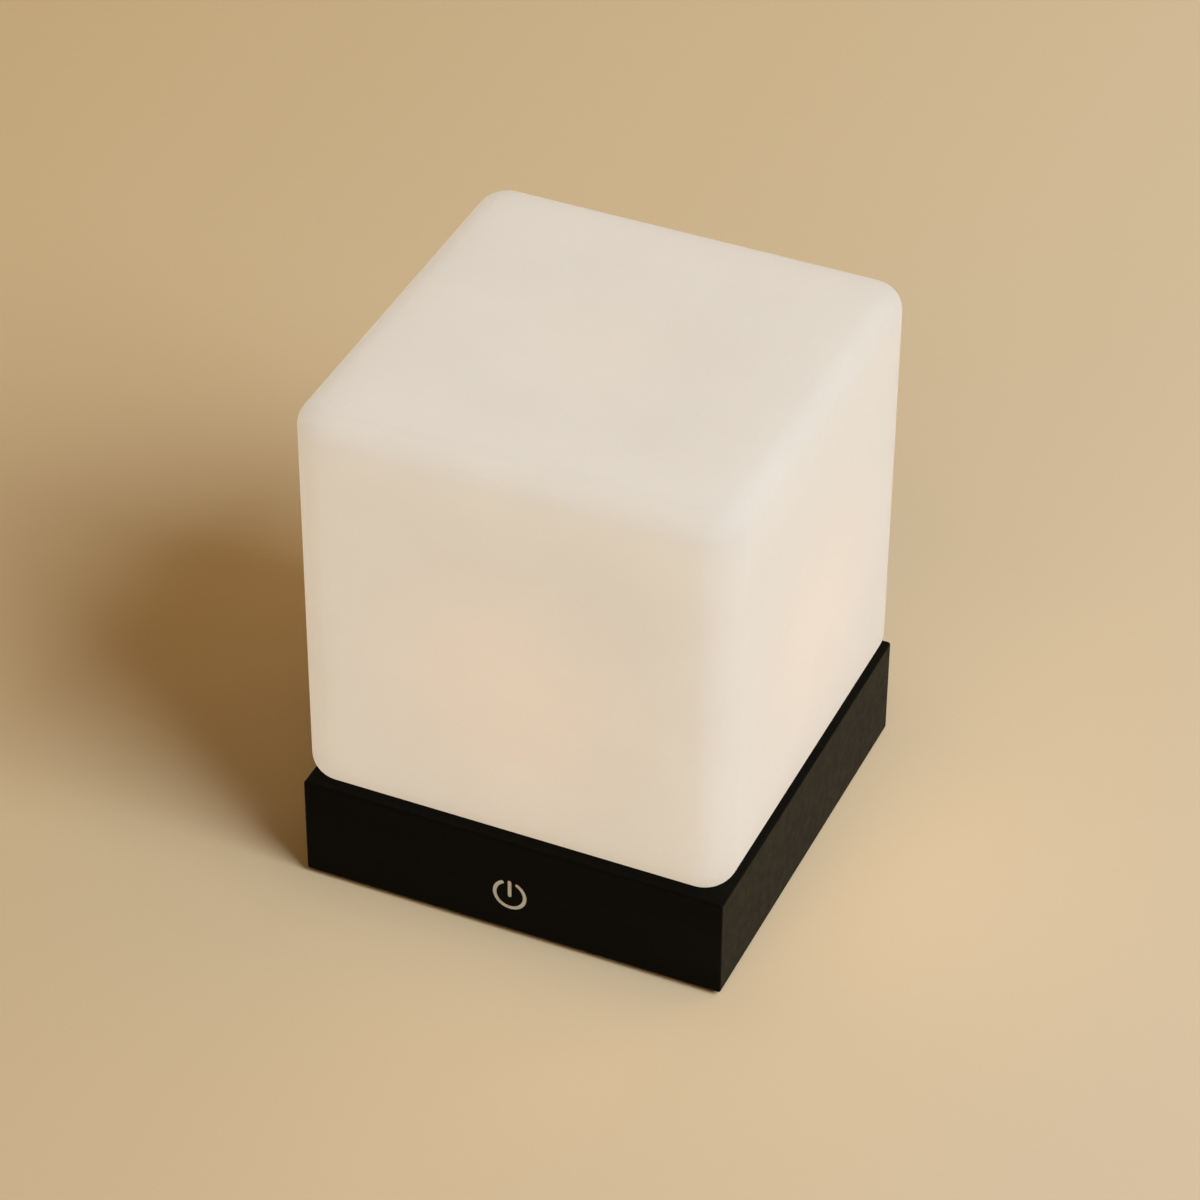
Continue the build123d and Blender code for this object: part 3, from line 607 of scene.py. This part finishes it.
# Reach of the painted light falloff on the table, in metres along the picture's right and away
# directions.
PAINTED_FALLOFF_LEFT, PAINTED_FALLOFF_RIGHT = -0.170, 0.170
PAINTED_FALLOFF_NEAR, PAINTED_FALLOFF_FAR = -0.125, 0.345
LIGHT_AIM = (0, 0, 0.06)
VIEW_TURN, VIEW_RISE, VIEW_ROLL = 23.82, 37.69, 0.348
VIEW_AIM = (-0.004759, 0.008693, 0.0495)
VIEW_DISTANCE = 0.9653
LENS_LENGTH = 130.48
SENSOR_WIDTH = 36


def table_top():
    """Broad sand-coloured table with painted light falloff in its colour and the faint tooth of painted
    board.
    """
    bpy.ops.object.select_all(action="DESELECT")
    bpy.ops.mesh.primitive_plane_add(size=1, location=(0, 0, 0))
    table = bpy.context.object
    table.name = "table_top"
    bpy.ops.transform.resize(value=(TABLE_SIDE, TABLE_SIDE, 1))
    bpy.ops.object.transform_apply(location=True, rotation=True, scale=True)
    paint = Finish("sand_paint_and_painted_falloff").set(roughness=0.75, specular_ior_level=0.2)
    # Painted falloff of light: the colour is lighter and less yellow towards the right, and darker and
    # less yellow towards the front.
    painted_falloff_across = paint.ramp(paint.along(PICTURE_RIGHT, PAINTED_FALLOFF_LEFT, PAINTED_FALLOFF_RIGHT), [
        (0.0, (0.955, 0.643, 0.310, 1)),
        (1.0, (1.000, 0.717, 0.405, 1)),
    ])
    away = paint.ramp(paint.along(PICTURE_AWAY, PAINTED_FALLOFF_NEAR, PAINTED_FALLOFF_FAR), [
        (0.0, (0.885, 0.908, 1.000, 1)),
        (1.0, (1.000, 1.000, 1.000, 1)),
    ])
    tone = paint.nodes.new("ShaderNodeVectorMath")
    tone.operation = "MULTIPLY"
    paint.links.new(painted_falloff_across, tone.inputs[0])
    paint.links.new(away, tone.inputs[1])
    paint.colour(tone.outputs["Vector"])
    paint.relief(paint.cloud(900, detail=3), 0.00003, 0.3)
    wear(table, paint.material)


def soft_box(name, azimuth, elevation, distance, side, power, colour):
    """Square soft box that looks at the lamp from an azimuth (0 is +X) and an elevation."""
    lamp = bpy.data.lights.new(name, "AREA")
    lamp.shape = "SQUARE"
    lamp.size = side
    lamp.energy = power
    lamp.color = colour
    box = bpy.data.objects.new(name, lamp)
    bpy.context.scene.collection.objects.link(box)
    turn, rise = math.radians(azimuth), math.radians(elevation)
    away = Vector((math.cos(rise) * math.cos(turn), math.cos(rise) * math.sin(turn), math.sin(rise)))
    box.location = Vector(LIGHT_AIM) + distance * away
    box.rotation_euler = away.to_track_quat("Z", "Y").to_euler()


def studio():
    """A large soft box from the right, weaker ones from front and back, and a trace of room light."""
    scene = bpy.context.scene
    scene.view_settings.view_transform = "Standard"
    room = bpy.data.worlds.new("studio_room")
    room.use_nodes = True
    nodes, links = room.node_tree.nodes, room.node_tree.links
    fill = nodes["Background"]
    fill.inputs["Color"].default_value = (1.0, 0.60, 0.28, 1)
    fill.inputs["Strength"].default_value = 0.005
    wall = nodes.new("ShaderNodeBackground")
    wall.inputs["Color"].default_value = screen(212, 190, 158)
    wall.inputs["Strength"].default_value = 0.9
    ray = nodes.new("ShaderNodeLightPath")
    seen = ray.outputs["Is Camera Ray"]
    for kind in ("Is Glossy Ray", "Is Transmission Ray"):
        either = nodes.new("ShaderNodeMath")
        either.operation = "MAXIMUM"
        links.new(seen, either.inputs[0])
        links.new(ray.outputs[kind], either.inputs[1])
        seen = either.outputs["Value"]
    mix = nodes.new("ShaderNodeMixShader")
    links.new(seen, mix.inputs["Fac"])
    links.new(fill.outputs["Background"], mix.inputs[1])
    links.new(wall.outputs["Background"], mix.inputs[2])
    links.new(mix.outputs["Shader"], nodes["World Output"].inputs["Surface"])
    scene.world = room
    soft_box("key_box", azimuth=-16, elevation=43, distance=2.9, side=1.5, power=73,
             colour=(0.80, 1.00, 1.26))
    soft_box("front_box", azimuth=-85, elevation=45, distance=3.4, side=2.0, power=21,
             colour=(1.0, 0.74, 0.40))
    soft_box("back_box", azimuth=35, elevation=50, distance=3.0, side=2.2, power=16,
             colour=(1.0, 0.78, 0.48))


def camera():
    """Long lens from the front right, as in the photograph."""
    turn, rise, roll = math.radians(VIEW_TURN), math.radians(VIEW_RISE), math.radians(VIEW_ROLL)
    back = Vector((math.sin(turn) * math.cos(rise), -math.cos(turn) * math.cos(rise), math.sin(rise)))
    right = Vector((math.cos(turn), math.sin(turn), 0))
    up = back.cross(right)
    level_right = math.cos(roll) * right + math.sin(roll) * up
    level_up = math.cos(roll) * up - math.sin(roll) * right
    lens = bpy.data.cameras.new("camera")
    lens.sensor_width = SENSOR_WIDTH
    lens.lens = LENS_LENGTH
    viewer = bpy.data.objects.new("camera", lens)
    bpy.context.scene.collection.objects.link(viewer)
    axes = Matrix((level_right, level_up, back)).transposed().to_4x4()
    viewer.matrix_world = Matrix.Translation(Vector(VIEW_AIM) + VIEW_DISTANCE * back) @ axes
    bpy.context.scene.camera = viewer


dress_solids()
table_top()
studio()
camera()
